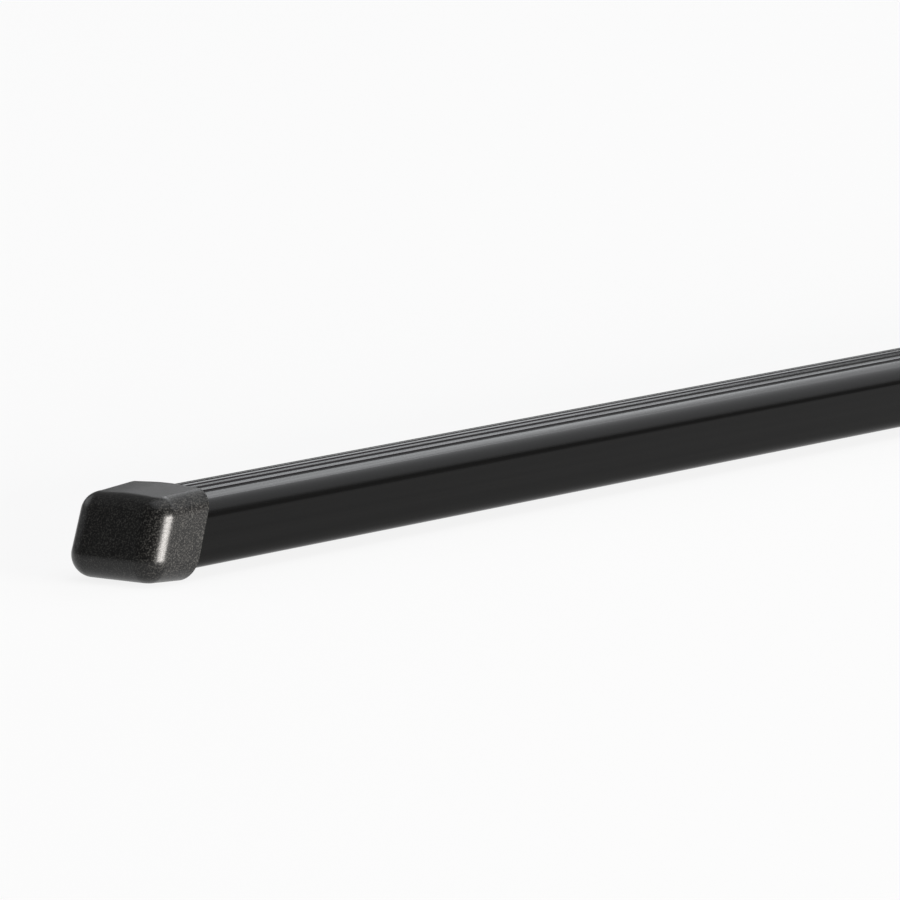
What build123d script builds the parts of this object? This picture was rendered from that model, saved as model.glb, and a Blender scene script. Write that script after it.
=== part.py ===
"""Roof rack crossbar: a steel tube in a ribbed plastic sheath, closed at both ends by slanted push-on caps.

X runs along the bar, Z is up, and the lowest lips of the caps lie at Z = 0.
"""

import os
from math import cos, radians, sin, sqrt, tan

from build123d import *

# Bar section, in millimetres
BAR_LENGTH = 1160.0
BAR_WIDTH = 32.0
BAR_HEIGHT = 22.0
BAR_CROWN_RADIUS = 33.0
BAR_TOP_CORNER = 6.0
BAR_BOTTOM_CORNER = 3.6

# Grip grooves along the crowned top
GROOVE_COUNT = 6
GROOVE_PITCH = 3.3
GROOVE_RADIUS = 0.9
GROOVE_DEPTH = 0.55
GROOVE_LIP = 0.25

# Sheath thickness around the tube, and the tube itself
SHEATH_SIDE = 2.0
SHEATH_FLOOR = 1.2
SHEATH_ROOF = 2.8
TUBE_CORNER = 3.5
TUBE_WALL = 2.0
BORE_CORNER = 1.5

# End caps: walls are measured at the lip under the bar, reaches from the end of the bar
CAP_SIDE_WALL = 1.55
CAP_TOP_WALL = 0.95
CAP_BOTTOM_WALL = 2.9
CAP_CROWN_RADIUS = 100.0
CAP_ROOF_PITCH = 3.0
CAP_UPRIGHT_ROUNDING = 7.2
CAP_ROUNDING = 6.5
CAP_DRAFT = 2.9
CAP_SIDE_TILT = 1.9
CAP_LEAN = 19.8
CAP_LIP_REACH = 7.0
CAP_NOSE_REACH = 10.3
CAP_SHELL = 2.0
CAP_RIM_EDGE = 0.3
SOCKET_CLEARANCE = 0.1

# Spigot that the cap pushes into the tube, with ribs that stop the bar and grip the bore
SPIGOT_LENGTH = 20.0
SPIGOT_WALL = 1.8
SPIGOT_CLEARANCE = 0.4
SPIGOT_LEAD_IN = 0.8
RIB_WIDTH = 1.6
RIB_SPACING = 12.0
RIB_SETBACK = 3.0

# Places that follow from the sizes above
BAR_END = -BAR_LENGTH / 2
BAR_UNDERSIDE = CAP_BOTTOM_WALL + SOCKET_CLEARANCE
BAR_TOP = BAR_UNDERSIDE + BAR_HEIGHT
TUBE_WIDTH = BAR_WIDTH - 2 * SHEATH_SIDE
TUBE_HEIGHT = BAR_HEIGHT - SHEATH_FLOOR - SHEATH_ROOF
TUBE_MIDDLE = BAR_UNDERSIDE + SHEATH_FLOOR + TUBE_HEIGHT / 2
BORE_WIDTH = TUBE_WIDTH - 2 * TUBE_WALL
BORE_HEIGHT = TUBE_HEIGHT - 2 * TUBE_WALL
SPIGOT_WIDTH = BORE_WIDTH - 2 * SPIGOT_CLEARANCE
SPIGOT_HEIGHT = BORE_HEIGHT - 2 * SPIGOT_CLEARANCE
CAP_WIDTH = BAR_WIDTH + 2 * (SOCKET_CLEARANCE + CAP_SIDE_WALL)
CAP_HEIGHT = BAR_TOP + SOCKET_CLEARANCE + CAP_TOP_WALL
CAP_LIP = BAR_END + CAP_LIP_REACH
CAP_NOSE = BAR_END - CAP_NOSE_REACH
BEVEL_SHARE = 2 - sqrt(2)


def bar_outline(clearance):
    """Smooth outside of the bar without its grooves, grown by a clearance."""
    half = BAR_WIDTH / 2 + clearance
    low = BAR_UNDERSIDE - clearance
    high = BAR_TOP + clearance
    crown = BAR_CROWN_RADIUS + clearance
    shoulder = high - crown + sqrt(crown**2 - half**2)
    with BuildSketch() as outline:
        with BuildLine():
            Polyline((-half, shoulder), (-half, low), (half, low), (half, shoulder))
            ThreePointArc((half, shoulder), (0, high), (-half, shoulder))
        make_face()
        fillet(outline.vertices().group_by(Axis.Y)[0], BAR_BOTTOM_CORNER + clearance)
        fillet(outline.vertices().group_by(Axis.Y)[-1], BAR_TOP_CORNER + clearance)
    return outline.sketch


def wall_plane(point, outward, inset):
    """Plane of a cap's wall through a point of its outer surface, moved inward by an inset."""
    return Plane(origin=point, z_dir=outward).offset(-inset)


def cap_block(inset):
    """Sharp-edged cap, cut from a box by the planes of its walls, lying inset inside the outer surface."""
    draft = tan(radians(CAP_DRAFT))
    tilt = tan(radians(CAP_SIDE_TILT))
    pitch = tan(radians(CAP_ROOF_PITCH))
    lean = radians(CAP_LEAN)
    lip = (CAP_LIP, 0, 0)
    nose = (CAP_NOSE, 0, CAP_HEIGHT / 2)
    crown_axis = (CAP_LIP, 0, CAP_HEIGHT - CAP_CROWN_RADIUS)
    walls = [
        wall_plane(lip, (cos(lean), 0, -sin(lean)), 0),
        wall_plane(lip, (-draft, 0, -1), inset),
        wall_plane(nose, (-cos(lean), 0, sin(lean)), inset),
    ]
    for side in (-1, 1):
        walls.append(wall_plane((CAP_LIP, side * CAP_WIDTH / 2, 0), (-draft, side, tilt), inset))
        walls.append(wall_plane(crown_axis, (-draft, side * pitch, 1), inset - CAP_CROWN_RADIUS))
    with BuildPart() as block:
        with Locations(nose):
            Box(3 * CAP_WIDTH, 2 * CAP_WIDTH, 2 * CAP_HEIGHT)
        for wall in walls:
            split(bisect_by=wall, keep=Keep.BOTTOM)
    return block.part


def upright_edges(cap):
    """The two edges between a cap's end face and its sides."""
    end_edges = cap.faces().sort_by(Axis.X)[0].edges().sort_by(Axis.Y)
    return [end_edges[0], end_edges[-1]]


def level_edges(cap):
    """All edges where a cap's roof and floor meet its end and its sides."""
    skirt = cap.faces().sort_by(Axis.X)[-1]
    level = cap.faces().filter_by(lambda face: abs(face.normal_at().Z) > 0.5)
    upright = cap.faces() - level - [skirt]
    return level.edges() & upright.edges()


def spigot_wall():
    """Hollow rectangle of the spigot, bevelled to clear the corners of the bore."""
    with BuildSketch() as wall:
        with Locations((0, TUBE_MIDDLE)):
            Rectangle(SPIGOT_WIDTH, SPIGOT_HEIGHT)
            chamfer(wall.vertices(), BORE_CORNER)
            Rectangle(SPIGOT_WIDTH - 2 * SPIGOT_WALL, SPIGOT_HEIGHT - 2 * SPIGOT_WALL, mode=Mode.SUBTRACT)
    return wall.sketch


def spigot_ribs(width, height):
    """Ribs around the spigot that reach out to a rectangle of this width and height."""
    with BuildSketch() as ribs:
        with Locations((0, TUBE_MIDDLE)):
            Rectangle(width, RIB_WIDTH)
            with GridLocations(RIB_SPACING, 0, 2, 1):
                Rectangle(RIB_WIDTH, height)
            Rectangle(SPIGOT_WIDTH - SPIGOT_WALL, SPIGOT_HEIGHT - SPIGOT_WALL, mode=Mode.SUBTRACT)
    return ribs.sketch


# Steel tube
with BuildPart() as core_tube:
    with BuildSketch(Plane.YZ.offset(BAR_END)):
        with Locations((0, TUBE_MIDDLE)):
            RectangleRounded(TUBE_WIDTH, TUBE_HEIGHT, TUBE_CORNER)
            RectangleRounded(BORE_WIDTH, BORE_HEIGHT, BORE_CORNER, mode=Mode.SUBTRACT)
    extrude(amount=BAR_LENGTH)

# Plastic sheath, with grooves cut along the crown so that ribs stand between them
with BuildPart() as sheath:
    with BuildSketch(Plane.YZ.offset(BAR_END)) as sheath_section:
        add(bar_outline(0))
        groove_orbit = BAR_CROWN_RADIUS + GROOVE_RADIUS - GROOVE_DEPTH
        for groove in range(GROOVE_COUNT):
            across = (groove - (GROOVE_COUNT - 1) / 2) * GROOVE_PITCH
            rise = sqrt(groove_orbit**2 - across**2) - BAR_CROWN_RADIUS
            with Locations((across, BAR_TOP + rise)):
                Circle(GROOVE_RADIUS, mode=Mode.SUBTRACT)
        lips = sheath_section.vertices().sort_by(Axis.Y)[-2 * GROOVE_COUNT :]
        fillet(lips, GROOVE_LIP)
        with Locations((0, TUBE_MIDDLE)):
            RectangleRounded(TUBE_WIDTH, TUBE_HEIGHT, TUBE_CORNER, mode=Mode.SUBTRACT)
    extrude(amount=BAR_LENGTH)

# Hollow of the cap's nose, bevelled to follow the roundings outside, with the spigot and the ribs left standing
with BuildPart() as nose_hollow:
    add(cap_block(CAP_SHELL))
    chamfer(upright_edges(nose_hollow), BEVEL_SHARE * (CAP_UPRIGHT_ROUNDING - CAP_SHELL))
    chamfer(level_edges(nose_hollow), BEVEL_SHARE * (CAP_ROUNDING - CAP_SHELL))
    split(bisect_by=Plane.YZ.offset(BAR_END), keep=Keep.BOTTOM)
    with BuildSketch(Plane.YZ.offset(BAR_END)):
        add(spigot_wall())
        add(spigot_ribs(2 * CAP_WIDTH, 2 * CAP_HEIGHT))
    extrude(amount=-CAP_WIDTH, mode=Mode.SUBTRACT)

# Spigot with a chamfered tip and ribs that touch the bore
with BuildPart() as spigot:
    with BuildSketch(Plane.YZ.offset(BAR_END)):
        add(spigot_wall())
    extrude(amount=SPIGOT_LENGTH)
    tip = spigot.faces().sort_by(Axis.X)[-1]
    chamfer(tip.outer_wire().edges(), SPIGOT_LEAD_IN)
    with BuildSketch(Plane.YZ.offset(BAR_END)):
        add(spigot_ribs(BORE_WIDTH, BORE_HEIGHT))
    extrude(amount=SPIGOT_LENGTH - RIB_SETBACK)

# Left end cap
with BuildPart() as end_cap_left:
    add(cap_block(0))
    fillet(upright_edges(end_cap_left), CAP_UPRIGHT_ROUNDING)
    roof = end_cap_left.faces().sort_by(Axis.Z)[-2:]
    fillet(roof[0].edges() & roof[1].edges(), CAP_CROWN_RADIUS)
    fillet(level_edges(end_cap_left), CAP_ROUNDING)
    rim = end_cap_left.faces().sort_by(Axis.X)[-1]
    chamfer(rim.edges(), CAP_RIM_EDGE)
    add(nose_hollow.part, mode=Mode.SUBTRACT)
    with BuildSketch(Plane.YZ.offset(BAR_END)):
        add(bar_outline(SOCKET_CLEARANCE))
    extrude(amount=CAP_WIDTH, mode=Mode.SUBTRACT)
    add(spigot.part)

# Right end cap
with BuildPart() as end_cap_right:
    mirror(end_cap_left.part, about=Plane.YZ)

# One file for each piece
os.makedirs("parts", exist_ok=True)
pieces = {
    "core_tube": core_tube,
    "sheath": sheath,
    "end_cap_left": end_cap_left,
    "end_cap_right": end_cap_right,
}
for name, piece in pieces.items():
    piece.part.label = name
    export_step(piece.part, f"parts/{name}.step")
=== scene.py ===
"""Roof rack crossbar, seen from its left end in a white studio.

All lengths are metres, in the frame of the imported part: X runs along the bar, Z is up, and the lowest
lips of the caps lie at Z = 0. Angles are degrees, and azimuths are measured from -Y towards +X.
"""

from math import asin, cos, radians, sin

import bpy
import numpy as np
from mathutils import Matrix, Vector


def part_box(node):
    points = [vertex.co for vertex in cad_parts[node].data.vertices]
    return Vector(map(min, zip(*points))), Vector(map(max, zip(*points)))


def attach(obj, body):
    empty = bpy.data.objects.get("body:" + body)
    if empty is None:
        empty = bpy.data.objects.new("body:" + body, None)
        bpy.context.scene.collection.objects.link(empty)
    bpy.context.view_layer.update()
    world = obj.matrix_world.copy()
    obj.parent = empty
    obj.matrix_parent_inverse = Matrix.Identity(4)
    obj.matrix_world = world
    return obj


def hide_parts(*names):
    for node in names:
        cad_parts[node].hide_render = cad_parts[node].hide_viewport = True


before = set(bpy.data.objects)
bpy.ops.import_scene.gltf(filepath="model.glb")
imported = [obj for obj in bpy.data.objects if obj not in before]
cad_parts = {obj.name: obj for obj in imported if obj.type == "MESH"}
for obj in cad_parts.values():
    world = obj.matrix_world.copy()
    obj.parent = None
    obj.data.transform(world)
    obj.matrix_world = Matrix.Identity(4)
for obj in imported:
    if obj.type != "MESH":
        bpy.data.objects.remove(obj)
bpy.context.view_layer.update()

MM = 0.001

# Section of the sheath
CROWN_RADIUS = 33 * MM
TOP_CORNER = 6 * MM
BOTTOM_CORNER = 3.6 * MM
GROOVE_COUNT = 6
GROOVE_PITCH = 3.3 * MM
GROOVE_RADIUS = 0.9 * MM
GROOVE_DEPTH = 0.55 * MM
GROOVE_LIP = 0.12 * MM
TUBE_CORNER = 3.5 * MM

# Points along each stretch of that section, and the angle above which an edge stays sharp
UNDERSIDE_POINTS = 12
BOTTOM_CORNER_POINTS = 24
SIDE_POINTS = 12
TOP_CORNER_POINTS = 28
CROWN_POINTS = 601
SHARP_ANGLE = 50

# Dark and light tone of each material, the sheen of the plastics, and the bump of the caps' grain
VINYL_TONES = ((0.0015, 0.0015, 0.0015), (0.0035, 0.0035, 0.0035))
CAP_TONES = ((0.001, 0.001, 0.0009), (0.04, 0.039, 0.036))
STEEL_TONES = ((0.42, 0.43, 0.44), (0.6, 0.61, 0.62))
VINYL_SHEEN = 0.085
CAP_SHEEN = 0.35
GRAIN_DEPTH = 0.1 * MM
GRAIN_STRENGTH = 0.25

# Camera, fitted to the photograph: the sensor is in millimetres, the rest of the picture in pixels
IMAGE_SIZE = 900
SENSOR_WIDTH = 36.0
FOCAL_PIXELS = 9013.5
BAR_END_PIXEL = (132.19, 569.72)
CAMERA_AZIMUTH = -53.67
CAMERA_ELEVATION = 8.04
CAMERA_DISTANCE = 2.6152

# Light from all round, and the floor with the share of white that it shows where no light falls
WORLD_LIGHT = 0.2
FLOOR_HALF = 40.0
FLOOR_COLOUR = (0.95, 0.95, 0.95, 1)
FLOOR_GLOW = 0.85

# Colours of the lamps
WARM = (1.0, 0.96, 0.92)
COOL = (0.96, 0.975, 1.0)

sheath_low, sheath_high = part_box("sheath")
tube_low, tube_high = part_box("core_tube")


def arc(centre, radius, start, stop, count):
    """Points on an arc of this radius about the centre, from the start angle to the stop angle."""
    angle = np.radians(np.linspace(start, stop, count))
    return np.stack([centre[0] + radius * np.cos(angle), centre[1] + radius * np.sin(angle)], axis=1)


def ribbed_crown(half_span):
    """The crowned top from +half_span to -half_span: the crown's arc, less the deepest groove there.

    A groove is a circle whose centre lies outside the crown. Its depth below the crown is a smooth
    maximum of zero and the circle's reach, so that its lips are rounded.
    """
    across = np.linspace(half_span, -half_span, CROWN_POINTS)
    crown = sheath_high.z - CROWN_RADIUS + np.sqrt(CROWN_RADIUS**2 - across**2)
    orbit = CROWN_RADIUS + GROOVE_RADIUS - GROOVE_DEPTH
    centres = (np.arange(GROOVE_COUNT) - (GROOVE_COUNT - 1) / 2) * GROOVE_PITCH
    heights = sheath_high.z - CROWN_RADIUS + np.sqrt(orbit**2 - centres**2)
    offset = across[:, None] - centres[None, :]
    inside = np.clip(GROOVE_RADIUS**2 - offset**2, 0, None)
    below = crown[:, None] - heights[None, :] + np.sqrt(inside)
    reach = np.where(inside > 0, below, -GROOVE_RADIUS).max(axis=1)
    depth = (reach + np.sqrt(reach**2 + GROOVE_LIP**2)) / 2
    return np.stack([across, crown - depth], axis=1)


def sheath_outline():
    """Closed outline of the sheath as (y, z) points, anticlockwise from the middle of the underside.

    The top corners are arcs that touch the straight sides and, from inside, the crown's arc.
    """
    half = sheath_high.y
    low_y = half - BOTTOM_CORNER
    low_z = sheath_low.z + BOTTOM_CORNER
    corner_orbit = CROWN_RADIUS - TOP_CORNER
    corner_y = half - TOP_CORNER
    lean = asin(corner_y / corner_orbit)
    corner_z = sheath_high.z - CROWN_RADIUS + corner_orbit * cos(lean)
    underside = np.linspace((0, sheath_low.z), (low_y, sheath_low.z), UNDERSIDE_POINTS, endpoint=False)
    bottom_corner = arc((low_y, low_z), BOTTOM_CORNER, -90, 0, BOTTOM_CORNER_POINTS)
    side = np.linspace((half, low_z), (half, corner_z), SIDE_POINTS)[1:-1]
    top_corner = arc((corner_y, corner_z), TOP_CORNER, 0, 90 - np.degrees(lean), TOP_CORNER_POINTS)
    crown = ribbed_crown(CROWN_RADIUS * sin(lean))[1:-1]
    right = np.concatenate([underside, bottom_corner, side, top_corner])
    left = right[:0:-1] * (-1, 1)
    return np.concatenate([right, crown, left])


def tube_outline(outer):
    """The tube's rounded rectangle, with one point for each outer point, pulled to the rectangle's skin.

    Each outer point is first clamped to the core rectangle, then set one corner radius away from it.
    """
    core_low = np.array([tube_low.y + TUBE_CORNER, tube_low.z + TUBE_CORNER])
    core_high = np.array([tube_high.y - TUBE_CORNER, tube_high.z - TUBE_CORNER])
    core = np.clip(outer, core_low, core_high)
    outward = outer - core
    return core + outward / np.linalg.norm(outward, axis=1, keepdims=True) * TUBE_CORNER


def ring(outline, x):
    """A closed outline of (y, z) points, set at this place along the bar."""
    return np.column_stack([np.full(len(outline), x), outline])


def carried_mesh(name, rings):
    """Closed surface through rings with equally many points: each joins the next, the last the first."""
    ring_count, point_count, _ = rings.shape
    index = np.arange(ring_count * point_count).reshape(ring_count, point_count)
    ahead = np.roll(index, -1, axis=0)
    corners = [index, np.roll(index, -1, axis=1), np.roll(ahead, -1, axis=1), ahead]
    quads = np.stack(corners, axis=-1).reshape(-1, 4)
    mesh = bpy.data.meshes.new(name)
    mesh.vertices.add(index.size)
    mesh.vertices.foreach_set("co", rings.astype(np.float32).ravel())
    mesh.loops.add(quads.size)
    mesh.loops.foreach_set("vertex_index", quads.astype(np.int32).ravel())
    mesh.polygons.add(len(quads))
    mesh.polygons.foreach_set("loop_start", np.arange(0, quads.size, 4, dtype=np.int32))
    mesh.update(calc_edges=True)
    mesh.validate()
    mesh.shade_smooth()
    mesh.set_sharp_from_angle(angle=radians(SHARP_ANGLE))
    piece = bpy.data.objects.new(name, mesh)
    bpy.context.scene.collection.objects.link(piece)
    return piece


def make_sheath():
    """The outer outline carried along the bar and the tube's outline back, which closes both ends."""
    outer = sheath_outline()
    inner = tube_outline(outer)
    left, right = sheath_low.x, sheath_high.x
    rings = np.stack([ring(outer, left), ring(outer, right), ring(inner, right), ring(inner, left)])
    sheath = carried_mesh("sheath_skin", rings)
    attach(sheath, "root")
    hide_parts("sheath")
    return sheath


def new_material(name):
    """A node material, with its tree and its shader."""
    material = bpy.data.materials.new(name)
    material.use_nodes = True
    tree = material.node_tree
    return material, tree, tree.nodes["Principled BSDF"]


def noise(tree, stretch, detail):
    """Noise over the object's own coordinates, each multiplied by its part of the stretch."""
    place = tree.nodes.new("ShaderNodeTexCoord")
    mapping = tree.nodes.new("ShaderNodeMapping")
    mapping.inputs["Scale"].default_value = stretch
    tree.links.new(place.outputs["Object"], mapping.inputs["Vector"])
    pattern = tree.nodes.new("ShaderNodeTexNoise")
    pattern.inputs["Scale"].default_value = 1.0
    pattern.inputs["Detail"].default_value = detail
    tree.links.new(mapping.outputs["Vector"], pattern.inputs["Vector"])
    return pattern.outputs["Fac"]


def drive_colour(tree, shader, pattern, span, tones):
    """Turns a span of the pattern's values into colours between the two tones."""
    ramp = tree.nodes.new("ShaderNodeValToRGB")
    for stop, position, tone in zip(ramp.color_ramp.elements, span, tones):
        stop.position = position
        stop.color = (*tone, 1)
    tree.links.new(pattern, ramp.inputs["Fac"])
    tree.links.new(ramp.outputs["Color"], shader.inputs["Base Color"])


def drive_roughness(tree, shader, pattern, span, smooth, rough):
    """Turns a span of the pattern's values into roughness between smooth and rough."""
    gloss = tree.nodes.new("ShaderNodeMapRange")
    gloss.inputs["From Min"].default_value, gloss.inputs["From Max"].default_value = span
    gloss.inputs["To Min"].default_value = smooth
    gloss.inputs["To Max"].default_value = rough
    tree.links.new(pattern, gloss.inputs["Value"])
    tree.links.new(gloss.outputs["Result"], shader.inputs["Roughness"])


def sheath_material():
    """Black vinyl with faint streaks along the bar."""
    material, tree, shader = new_material("black_vinyl")
    streaks = noise(tree, stretch=(3, 900, 900), detail=3)
    drive_colour(tree, shader, streaks, span=(0, 1), tones=VINYL_TONES)
    drive_roughness(tree, shader, streaks, span=(0.3, 0.7), smooth=0.14, rough=0.24)
    shader.inputs["Specular IOR Level"].default_value = VINYL_SHEEN
    return material


def cap_material():
    """Black moulded plastic whose fine grain is light specks, a faint bump and an uneven gloss."""
    material, tree, shader = new_material("grained_plastic")
    grain = noise(tree, stretch=(2100, 2100, 2100), detail=1)
    bump = tree.nodes.new("ShaderNodeBump")
    bump.inputs["Strength"].default_value = GRAIN_STRENGTH
    bump.inputs["Distance"].default_value = GRAIN_DEPTH
    tree.links.new(grain, bump.inputs["Height"])
    tree.links.new(bump.outputs["Normal"], shader.inputs["Normal"])
    drive_colour(tree, shader, grain, span=(0.48, 0.7), tones=CAP_TONES)
    drive_roughness(tree, shader, grain, span=(0.35, 0.68), smooth=0.28, rough=0.36)
    shader.inputs["Specular IOR Level"].default_value = CAP_SHEEN
    return material


def tube_material():
    """Zinc-coated steel with streaks along the tube."""
    material, tree, shader = new_material("zinc_steel")
    streaks = noise(tree, stretch=(12, 700, 700), detail=2)
    drive_colour(tree, shader, streaks, span=(0, 1), tones=STEEL_TONES)
    drive_roughness(tree, shader, streaks, span=(0, 1), smooth=0.3, rough=0.5)
    shader.inputs["Metallic"].default_value = 1.0
    return material


def dress(piece, material):
    """Gives a piece this one material."""
    piece.data.materials.clear()
    piece.data.materials.append(material)


def either(tree, first, second):
    """One where either value is one."""
    larger = tree.nodes.new("ShaderNodeMath")
    larger.operation = "MAXIMUM"
    tree.links.new(first, larger.inputs[0])
    tree.links.new(second, larger.inputs[1])
    return larger.outputs["Value"]


def seen_directly(tree):
    """One for camera, glossy and transmission rays, and zero for the rays that carry light."""
    path = tree.nodes.new("ShaderNodeLightPath")
    mirrored = either(tree, path.outputs["Is Glossy Ray"], path.outputs["Is Transmission Ray"])
    return either(tree, path.outputs["Is Camera Ray"], mirrored)


def floor_material():
    """Matt white, with a glow that is seen but lights nothing: it reads white and keeps the shadow."""
    material = bpy.data.materials.new("white_floor")
    material.use_nodes = True
    tree = material.node_tree
    tree.nodes.clear()
    matt = tree.nodes.new("ShaderNodeBsdfDiffuse")
    matt.inputs["Color"].default_value = FLOOR_COLOUR
    glow = tree.nodes.new("ShaderNodeEmission")
    share = tree.nodes.new("ShaderNodeMath")
    share.operation = "MULTIPLY"
    share.inputs[1].default_value = FLOOR_GLOW
    tree.links.new(seen_directly(tree), share.inputs[0])
    blend = tree.nodes.new("ShaderNodeMixShader")
    tree.links.new(share.outputs["Value"], blend.inputs["Fac"])
    tree.links.new(matt.outputs["BSDF"], blend.inputs[1])
    tree.links.new(glow.outputs["Emission"], blend.inputs[2])
    output = tree.nodes.new("ShaderNodeOutputMaterial")
    tree.links.new(blend.outputs["Shader"], output.inputs["Surface"])
    return material


def make_floor():
    """A wide square floor at Z = 0."""
    low, high = -FLOOR_HALF, FLOOR_HALF
    mesh = bpy.data.meshes.new("floor")
    mesh.from_pydata([(low, low, 0), (high, low, 0), (high, high, 0), (low, high, 0)], [], [(0, 1, 2, 3)])
    floor = bpy.data.objects.new("floor", mesh)
    bpy.context.scene.collection.objects.link(floor)
    dress(floor, floor_material())


def make_world():
    """Dim, even light from all round."""
    world = bpy.data.worlds.new("studio")
    bpy.context.scene.world = world
    world.use_nodes = True
    sky = world.node_tree.nodes["Background"]
    sky.inputs["Color"].default_value = (1, 1, 1, 1)
    sky.inputs["Strength"].default_value = WORLD_LIGHT


def towards(azimuth, elevation):
    """Unit vector that points to this azimuth and this elevation."""
    turn, rise = radians(azimuth), radians(elevation)
    return Vector((sin(turn) * cos(rise), -cos(turn) * cos(rise), sin(rise)))


def make_lamp(name, target, azimuth, elevation, distance, size, power, colour=COOL):
    """Softbox of this width and height that faces the target, with its power in watts."""
    lamp = bpy.data.lights.new(name, "AREA")
    lamp.shape = "RECTANGLE"
    lamp.size, lamp.size_y = size
    lamp.energy = power
    lamp.color = colour
    away = towards(azimuth, elevation)
    holder = bpy.data.objects.new(name, lamp)
    holder.location = target + away * distance
    holder.rotation_euler = away.to_track_quat("Z", "Y").to_euler()
    holder.visible_camera = False
    bpy.context.scene.collection.objects.link(holder)


def make_lamps():
    """Warm key lamp in front of the left cap, and cool ones beside, above and behind."""
    bar = (sheath_low + sheath_high) / 2
    cap = Vector((sheath_low.x, 0, bar.z))
    make_lamp(
        "front_lamp", cap, azimuth=9, elevation=6, distance=4, size=(2.7, 0.68), power=340, colour=WARM
    )
    make_lamp("low_back_lamp", cap, azimuth=125.5, elevation=11, distance=10, size=(1.2, 2.1), power=8.8)
    make_lamp("high_back_lamp", cap, azimuth=119, elevation=25, distance=10, size=(1.6, 2.3), power=28)
    make_lamp("side_lamp", cap, azimuth=86, elevation=27, distance=6, size=(6, 3), power=88)
    make_lamp("top_lamp", cap, azimuth=60, elevation=78, distance=5, size=(5, 5), power=95)
    make_lamp("rear_lamp", bar, azimuth=185, elevation=26, distance=6, size=(4.5, 2.5), power=36)


def make_camera():
    """Level camera whose picture shows the lower edge of the bar's end where the photograph has it."""
    ahead = -towards(CAMERA_AZIMUTH, CAMERA_ELEVATION)
    right = towards(CAMERA_AZIMUTH + 90, 0)
    up = right.cross(ahead)
    bar_end = Vector((sheath_low.x, 0, sheath_low.z))
    aside = (BAR_END_PIXEL[0] - IMAGE_SIZE / 2) / FOCAL_PIXELS
    above = (IMAGE_SIZE / 2 - BAR_END_PIXEL[1]) / FOCAL_PIXELS
    place = bar_end - CAMERA_DISTANCE * (right * aside + up * above + ahead)
    turn = Matrix((right, up, -ahead)).transposed()
    lens = bpy.data.cameras.new("camera")
    lens.sensor_width = SENSOR_WIDTH
    lens.lens = SENSOR_WIDTH * FOCAL_PIXELS / IMAGE_SIZE
    camera = bpy.data.objects.new("camera", lens)
    camera.matrix_world = Matrix.Translation(place) @ turn.to_4x4()
    bpy.context.scene.collection.objects.link(camera)
    bpy.context.scene.camera = camera


# The bar
dress(make_sheath(), sheath_material())
dress(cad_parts["core_tube"], tube_material())
grained = cap_material()
dress(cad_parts["end_cap_left"], grained)
dress(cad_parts["end_cap_right"], grained)

# The studio
make_floor()
make_world()
make_lamps()
make_camera()
bpy.context.scene.view_settings.view_transform = "Standard"
